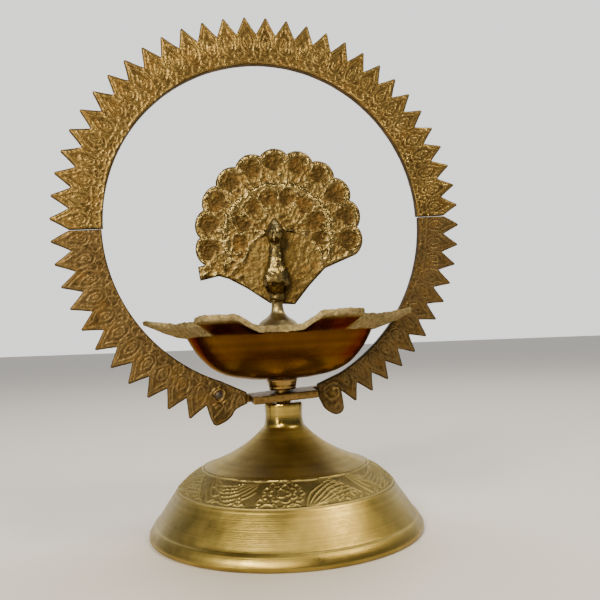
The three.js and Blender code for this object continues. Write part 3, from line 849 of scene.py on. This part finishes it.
def tooth_relief(points, away, drawn_in=0.0, spread=0.0):
    """The height of the ring's relief: tooth motifs, a rim inside, and a line along each edge."""
    skin = upright(points)
    angle = np.arctan2(points[:, 0], points[:, 1])
    radius = np.linalg.norm(points, axis=1)
    along = np.clip((np.abs(angle) - ARM_START) / (math.pi - ARM_START), 0, None)
    if spread or drawn_in:
        angle = angle - np.sign(angle) * spread * (2 * along) ** 2 / 2
        radius = radius / (1 - drawn_in * along)
    turn = (angle - TOOTH_SHIFT) / TOOTH_PITCH
    tooth = np.floor(turn)
    across = (turn - tooth - 0.5) * TOOTH_PITCH * (RING_VALLEY - 2)
    outward = radius - RING_VALLEY
    across = across + 0.4 * lumps(skin, 3.1, 3, 4.0) + 0.25 * np.sin(tooth * 2.4)
    outward = outward + 0.45 * lumps(skin, 3.4, 3, 9.0) + 0.35 * np.sin(tooth * 1.7)
    local = np.column_stack([np.abs(across), outward])
    raised = ridge(local, tooth_lines(), 0.25, 0.3)
    inner_rim = 0.3 * np.exp(-(((outward + (RING_VALLEY - RING_IN) - 0.55) / 0.35) ** 2))
    parallel = 0.2 * np.exp(-(((away - 0.75) / 0.3) ** 2)) * step(outward, -2.5, -0.5)
    worn = 0.9 + 0.5 * lumps(skin, 4.5, 2, 15.0)
    cast = 0.09 * lumps(skin, 1.1, 3, 21.0)
    lines = np.maximum.reduce([raised, inner_rim, parallel])
    return lines * np.clip(worn, 0.35, 1.2) + cast - 0.08


def ring_arch():
    """The upper half of the ring."""
    outline = toothed_edge(-ARM_FIRST_TOOTH, ARM_FIRST_TOOTH - 1)
    outline += inner_edge(TOOTH_SHIFT - ARM_START, TOOTH_SHIFT + ARM_START, RING_IN, RING_IN, 90)
    verts, faces, shade = plate(outline, -RING_THICK / 2, RING_THICK / 2, tooth_relief)
    replaced = ["ring_upper_arch"]
    piece("ring_arch_cast", verts, faces, RING, "ring", RING_BRASS, replaced, shade)


def ring_arm(name):
    """A lower arm of the ring, down to its lobe beside the strap."""
    arm = ARMS[name]
    side = arm["side"]
    shift = side * TOOTH_SHIFT
    start = ARM_START + shift + GAP / ARM_IN
    outline = toothed_edge(ARM_FIRST_TOOTH, arm["last"], shift, arm["drawn_in"], arm["spread"])
    outline[0] = polar(start, RING_VALLEY)
    lobe = [tuple(p) for p in bend(outline[-1], *arm["lobe"], count=4)]
    inner = inner_edge(start, ARM_END, ARM_IN, arm["inner_end"], 48)
    outline = [(side * x, z) for x, z in [*outline[:-1], *lobe, ARM_CORNER, *inner]]
    if side < 0:
        outline.reverse()
    rivet_at = np.array([side * arm["rivet"][0], arm["rivet"][1]])

    def relief(points, away):
        teeth = tooth_relief(points, away, arm["drawn_in"], arm["spread"])
        curl = arm["curl"]
        skin = upright(points)
        bent = points + 0.5 * lumps(skin, 3.0, 2, 31.0)[:, None]
        lines = [spiral(*rivet_at, curl, 1.5, 1.3, first=1.0)]
        for x, z in arm["small_curls"]:
            lines.append(spiral(rivet_at[0] + side * x, rivet_at[1] + z, 1.6, 0.4, 1.2))
        near = np.linalg.norm(points - rivet_at, axis=1)
        blend = step(-near, -curl - 2.2, -curl - 0.6)
        swirl = ridge(bent, lines, 0.3, 0.4) + 0.1 * lumps(skin, 1.1, 3, 21.0) - 0.08
        return ARM_WEAR * teeth * (1 - blend) + swirl * blend

    verts, faces, shade = plate(outline, -RING_THICK / 2, RING_THICK / 2, relief)
    node = f"ring_{name}_arm"
    piece(f"{node}_cast", verts, faces, RING, "ring", SHADED_ARM_BRASS, [node], shade)


def rivet(name, material, head_r, dome):
    """A rivet's two domed heads and its shank, through an arm and the strap's tab."""
    arm = ARMS[name]
    front = -RING_THICK / 2 - 0.1
    back = RING_THICK / 2 + GAP + STRAP_THICK + 0.2
    profile = [
        (0.02, front - dome),
        (head_r * 0.45, front - dome * 0.9),
        (head_r * 0.8, front - dome * 0.55),
        (head_r, front - 0.1),
        (head_r * 0.97, front + 0.05),
        (1.3, front + 0.1),
        (1.3, back - 0.1),
        (2.0, back),
        (1.9, back + 0.5),
        (1.2, back + 0.85),
        (0.02, back + 0.95),
    ]
    verts, faces, _ = lathe(profile, 40, closed=False)
    flat = verts.reshape(-1, 3)
    across, up_to = arm["side"] * arm["rivet"][0], arm["rivet"][1]
    flat = np.column_stack([flat[:, 0] + across, flat[:, 2], up_to - flat[:, 1]])
    flat += 0.05 * lumps(flat, 0.8, 2)[:, None]
    piece(f"rivet_{name}_domed", flat, faces, RING, "ring", material, [f"rivet_{name}"])


# ---- peacock -------------------------------------------------------------------------------


def peacock_foot():
    """The bell foot and stem, up to the bird."""
    low = FOOT_LOW
    bell = [(10.3, 0.15), (10.6, 0.8), (9.9, 3), (9.3, 7), (8.9, 11), (7.9, 14.4), (6.2, 17), (3.9, 18.6)]
    stem = [(2.6, 20.0), (STEM_R, 21.6), (STEM_R - 0.1, 23.2)]
    key = [(r, low + z) for r, z in bell + stem] + [(STEM_R + 0.2, STEM_TOP - 0.2)]
    skin = [tuple(p) for p in bend(*key, count=5)]
    inside_wall = [(0.05, STEM_TOP - 0.1), (0.05, low + 9), (BORE_R, low + 8.4)]
    profile = [(BORE_R, low), (10.0, low), *skin, *inside_wall]
    verts, faces, _ = lathe(profile, 128)
    flat = verts.reshape(-1, 3)
    flat = flat + 0.07 * lumps(flat, 2.5, 3)[:, None] * [1, 1, 0]
    piece("peacock_foot_turned", flat, faces, PEACOCK, "peacock", FOOT_BRASS, ["peacock_foot"])


def peacock_body():
    """The bird: belly, breast, bent neck, and head with crest and eyes."""
    # height, how far forward, half width, half depth
    stations = [
        (STEM_TOP - 0.6, 0.0, 2.6, 2.6),
        (STEM_TOP + 0.4, 0.0, 2.9, 2.8),
        (37.4, -0.5, 2.8, 2.6),
        (39.2, -1.1, 3.9, 3.3),
        (41.2, -1.7, 4.7, 4.2),
        (43.6, -2.0, 4.6, 4.3),
        (46.2, -2.4, 3.7, 3.6),
        (49.0, -3.1, 2.7, 2.7),
        (52.3, -3.7, 2.15, 2.1),
        (54.4, -4.1, 2.05, 2.1),
        (56.3, -5.3, 2.6, 3.3),
        (58.6, -5.5, 3.0, 3.3),
        (60.8, -4.9, 2.35, 2.5),
        (62.4, -4.2, 1.35, 1.6),
        (63.7, -3.5, 0.4, 0.5),
    ]
    rows = bend(*stations, count=6)
    columns = 72
    angle = around(columns)
    z, y, wide, deep = rows.T
    x = np.outer(wide, np.cos(angle))
    yy = y[:, None] + np.outer(deep, np.sin(angle))
    zz = np.outer(z, np.ones(columns))
    verts = np.stack([x, yy, zz], 2)
    flat = verts.reshape(-1, 3)
    front = step(-flat[:, 1], 0.5, 2.5)
    seen = flat[:, [0, 2]]
    chest = [bend((-4.4, 46.6), (-2.6, 45.0), (0.2, 43.6), (2.4, 45.2), (4.4, 47.2))]
    chest.append(bend((-3.6, 43.6), (-2.4, 40.6), (-0.6, 39.4), (0.8, 41.0), (0.2, 43.4)))
    chest.append(bend((2.0, 43.6), (2.6, 41.0), (1.6, 38.6)))
    scales = [arc(c, h, 0.75, 0.8, 180, 360, 8) for h in (47.4, 49.4, 51.4, 53.2) for c in (-1.3, 0.1, 1.5)]
    height = ridge(seen, chest, 0.5, 0.34) + ridge(seen, scales, 0.22, 0.16)
    eyes = 0.45 * np.exp(-(((flat[:, 1] + 6.2) / 0.55) ** 2) - ((flat[:, 2] - 58.6) / 0.55) ** 2)
    height = height * front + eyes + 0.22 * lumps(flat, 1.7, 4)
    middle = np.stack([np.zeros_like(x), np.outer(y, np.ones(columns)), zz], 2).reshape(-1, 3)
    outward = flat - middle
    outward /= np.maximum(np.linalg.norm(outward, axis=1), 1e-3)[:, None]
    flat = flat + outward * height[:, None]
    count = len(rows)
    faces = tube_faces(count, columns)
    faces.append(tuple(range(columns - 1, -1, -1)))
    faces.append(tuple(range((count - 1) * columns, count * columns)))
    slot, replaced = "peacock_brass", ["peacock_body"]
    piece(
        "peacock_body_cast", flat, faces, PEACOCK, "peacock", PEACOCK_BRASS, replaced, 0.5 + height
    )


def beak():
    """A short drooping beak, set into the front of the head."""
    path = bend((-7.2, 58.4), (-8.8, 57.6), (-9.9, 56.0), (-10.2, 54.6), count=6)
    sizes = np.interp(np.linspace(0, 1, len(path)), [0, 0.4, 1], [1.25, 0.85, 0.12])
    columns = 24
    along = np.gradient(path, axis=0)
    along /= np.linalg.norm(along, axis=1)[:, None]
    flat = []
    for (y, z), (dy, dz), size in zip(path, along, sizes):
        for a in around(columns):
            side, up_by = size * math.cos(a), size * math.sin(a)
            flat.append((side, y - dz * up_by, z + dy * up_by))
    count = len(path)
    faces = [(a, d, c, b) for a, b, c, d in tube_faces(count, columns)]
    faces.append(tuple(range(columns)))
    faces.append(tuple(range(count * columns - 1, (count - 1) * columns - 1, -1)))
    shade = np.full(len(flat), 0.3)
    piece("peacock_beak", flat, faces, PEACOCK, "peacock", PEACOCK_BRASS, (), shade)


TAIL_DISC = (1.4, -12.5)  # the middle of the plain half disc


def tail_cells():
    """The middles of the tail's feather eyes about its centre, each with its radius and direction."""
    span = (TAIL_TO - TAIL_FROM) / SCALLOPS
    outer = [(24.7, 4.0, TAIL_FROM + (i + 0.5) * span, 0, 0) for i in range(SCALLOPS)]
    inner = [(13.9, 3.6, math.radians(-6 + i * 27.6), 0.6, -0.9) for i in range(8)]
    cells = []
    for r, size, a, x, z in outer + inner:
        cells.append((r * math.cos(a) + x, r * TAIL_TALL * math.sin(a) + z, size, a))
    return cells


def tail_relief(local, away):
    """Dished feather eyes in two rows under thin arches, a ridge between, and a plain half disc."""
    skin = upright(local)
    warp = np.column_stack([lumps(skin, 4.0, 3, 2.0), lumps(skin, 4.0, 3, 6.0)])
    bent = local + 0.9 * warp
    dish = np.zeros(len(local))
    arches = np.zeros(len(local))
    for x, z, size, angle in tail_cells():
        reach = np.hypot(bent[:, 0] - x, bent[:, 1] - z)
        dish = np.minimum(dish, -0.4 * (1 - step(reach, size * 0.3, size * 1.05)))
        turn = math.degrees(angle)
        arch = arc(x, z, size, size, turn - 85, turn + 85, 16)
        arches = np.maximum(arches, ridge(bent, [arch], 0.38, 0.42))
        barb = arc(x, z, size * 0.5, size * 0.42, turn - 150, turn + 70, 12)
        arches = np.maximum(arches, ridge(bent, [barb], 0.3, 0.22))
        for side in (-1, 1):
            beside, below = angle + side * 1.5, angle - side * 0.2
            start = (x + size * math.cos(beside), z + size * math.sin(beside))
            end = (x - size * 1.7 * math.cos(below), z - size * 1.7 * math.sin(below))
            arches = np.maximum(arches, ridge(bent, [np.array([start, end])], 0.34, 0.24))
    stubs = [bend((x, -8.4), (x + 0.4, -11.5), (x - 0.4 + 0.2 * x, -15.0)) for x in (-24.6, -19.6, -15.4)]
    arches = np.maximum(arches, ridge(bent, stubs, 0.4, 0.4))
    middle_arc = ridge(bent, [arc(0, -0.5, 19.0, 18.2, -28, 208, 50)], 0.95, 0.62)
    inner_arc = ridge(bent, [arc(*TAIL_DISC, 14.4, 14.3, 8, 168, 40)], 0.6, 0.62)
    plain = step(-np.linalg.norm(bent - TAIL_DISC, axis=1), -14.4, -13.4)
    rim = 0.34 * np.exp(-(((away - 0.9) / 0.7) ** 2)) * step(local[:, 1], -16, -9)
    worn = np.clip(0.85 + 0.6 * lumps(skin, 6.0, 2, 14.0), 0.4, 1.2)
    rough = 0.27 * lumps(skin, 1.7, 4, 11.0)
    lines = np.maximum.reduce([middle_arc, inner_arc, rim, arches * (1 - plain)]) * worn
    return dish * (1 - plain) + lines + rough * (1 - 0.55 * plain) + 0.05


def tail():
    """The open tail: two rows of feather eyes round a plain half disc, with ridges between."""
    edge = []
    steps = 12
    total = SCALLOPS * steps
    for i in range(total + 1):
        angle = TAIL_FROM + (TAIL_TO - TAIL_FROM) * i / total
        bump = abs(math.sin(math.pi * i / steps))
        radius = TAIL_R - 1.7 + 1.9 * bump**0.7
        edge.append((radius * math.cos(angle), radius * TAIL_TALL * math.sin(angle)))
    outline = [(x + TAIL_X, z + TAIL_Z) for x, z in [*edge, *TAIL_LOWER]]
    outline.reverse()

    def relief(points, away):
        return tail_relief(points - [TAIL_X, TAIL_Z], away)

    verts, faces, shade = plate(outline, TAIL_BACK - TAIL_THICK, TAIL_BACK, relief, edge=0.8)
    slot, replaced = "peacock_brass", ["peacock_tail"]
    piece(
        "peacock_tail_cast", verts, faces, PEACOCK, "peacock", PEACOCK_BRASS, replaced, shade
    )


# ---- the lamp ------------------------------------------------------------------------------

pedestal()
bowl()
collar()
ring_arch()
ring_arm("left")
ring_arm("right")
rivet("left", PIN_STEEL, 1.0, 0.35)
rivet("right", RING_BRASS, 1.6, 0.7)
worn_copy("strap", "strap_worn", STRAP_BRASS)
peacock_foot()
peacock_body()
beak()
tail()
for hidden in ("bowl_stud", "peacock_screw"):
    node = frame["nodes"][hidden]
    node.data.materials.clear()
    node.data.materials.append(DARK_TURNED)

# ---- floor, light and camera ---------------------------------------------------------------


FLOOR_HALF = 8.0

LIGHTS = [  # name, place, target, size, watts, colour
    ("key", (-0.4, -0.6, 0.5), (0, 0, 0.07), 0.16, 5.5, (1.0, 0.92, 0.76)),
    ("fill", (0.45, -0.25, 0.55), (0.03, 0, 0.13), 0.12, 2.6, (1.0, 0.86, 0.62)),
    ("glint", (-0.13, -0.55, 0.31), (0.045, 0, 0.15), 0.09, 1.6, (1.0, 0.8, 0.48)),
    ("low", (-0.42, -0.5, 0.12), (0, 0, 0.08), 0.12, 0.7, (1.0, 0.88, 0.68)),
    ("top", (0.1, 0.25, 0.8), (0, 0, 0.1), 0.5, 5, (1, 1, 1)),
]

CAMERA_PLACE = (0.00998, -0.2236, 0.06263)
CAMERA_PITCH = math.radians(3.7)
CAMERA_ROLL = math.radians(2.1)
CAMERA_LENS = 38.4  # millimetres


def floor():
    """A wide pale floor."""
    material = bpy.data.materials.new("pale floor")
    material.use_nodes = True
    surface = material.node_tree.nodes["Principled BSDF"]
    surface.inputs["Base Color"].default_value = (0.62, 0.58, 0.53, 1)
    surface.inputs["Roughness"].default_value = 0.6
    mesh = bpy.data.meshes.new("floor")
    half = FLOOR_HALF
    corners = [(-half, -half, 0), (half, -half, 0), (half, half, 0), (-half, half, 0)]
    mesh.from_pydata(corners, [], [(0, 1, 2, 3)])
    mesh.materials.append(material)
    obj = bpy.data.objects.new("floor", mesh)
    bpy.context.scene.collection.objects.link(obj)


def area_light(name, place, target, size, power, color):
    """A square softbox that faces the target."""
    data = bpy.data.lights.new(name, "AREA")
    data.size = size
    data.energy = power
    data.color = color
    obj = bpy.data.objects.new(name, data)
    obj.location = place
    obj.rotation_euler = (Vector(target) - Vector(place)).to_track_quat("-Z", "Y").to_euler()
    bpy.context.scene.collection.objects.link(obj)


def room():
    """A soft room: brightest on the far side of the lamp, dimmer at the sides and behind the camera."""
    world = bpy.data.worlds.new("room")
    bpy.context.scene.world = world
    world.use_nodes = True
    tree = world.node_tree
    direction = tree.nodes.new("ShaderNodeTexCoord")
    split = tree.nodes.new("ShaderNodeSeparateXYZ")
    ramp = tree.nodes.new("ShaderNodeMapRange")
    ramp.inputs["From Min"].default_value = -0.1
    ramp.inputs["From Max"].default_value = 0.5
    ramp.inputs["To Min"].default_value = 0.2
    ramp.inputs["To Max"].default_value = 1.5
    tree.links.new(direction.outputs["Generated"], split.inputs["Vector"])
    aside = tree.nodes.new("ShaderNodeMath")
    aside.operation = "ABSOLUTE"
    tree.links.new(split.outputs["X"], aside.inputs[0])
    behind = tree.nodes.new("ShaderNodeMath")
    behind.operation = "MULTIPLY_ADD"
    behind.inputs[1].default_value = -0.5
    tree.links.new(aside.outputs[0], behind.inputs[0])
    tree.links.new(split.outputs["Y"], behind.inputs[2])
    tree.links.new(behind.outputs[0], ramp.inputs["Value"])
    background = tree.nodes["Background"]
    background.inputs["Color"].default_value = (0.95, 0.94, 0.92, 1)
    tree.links.new(ramp.outputs["Result"], background.inputs["Strength"])


def camera():
    """Low in front of the lamp, tipped a little up and rolled a little."""
    pitch, roll = CAMERA_PITCH, CAMERA_ROLL
    forward = Vector((0, math.cos(pitch), math.sin(pitch)))
    upward = Vector((0, -math.sin(pitch), math.cos(pitch)))
    right = Vector((1, 0, 0))
    x_axis = right * math.cos(roll) - upward * math.sin(roll)
    y_axis = right * math.sin(roll) + upward * math.cos(roll)
    data = bpy.data.cameras.new("camera")
    data.lens = CAMERA_LENS
    data.clip_start = 0.01
    obj = bpy.data.objects.new("camera", data)
    turn = Matrix((x_axis, y_axis, -forward)).transposed().to_4x4()
    obj.matrix_world = Matrix.Translation(CAMERA_PLACE) @ turn
    bpy.context.scene.collection.objects.link(obj)
    bpy.context.scene.camera = obj


floor()
room()
for light in LIGHTS:
    area_light(*light)
camera()
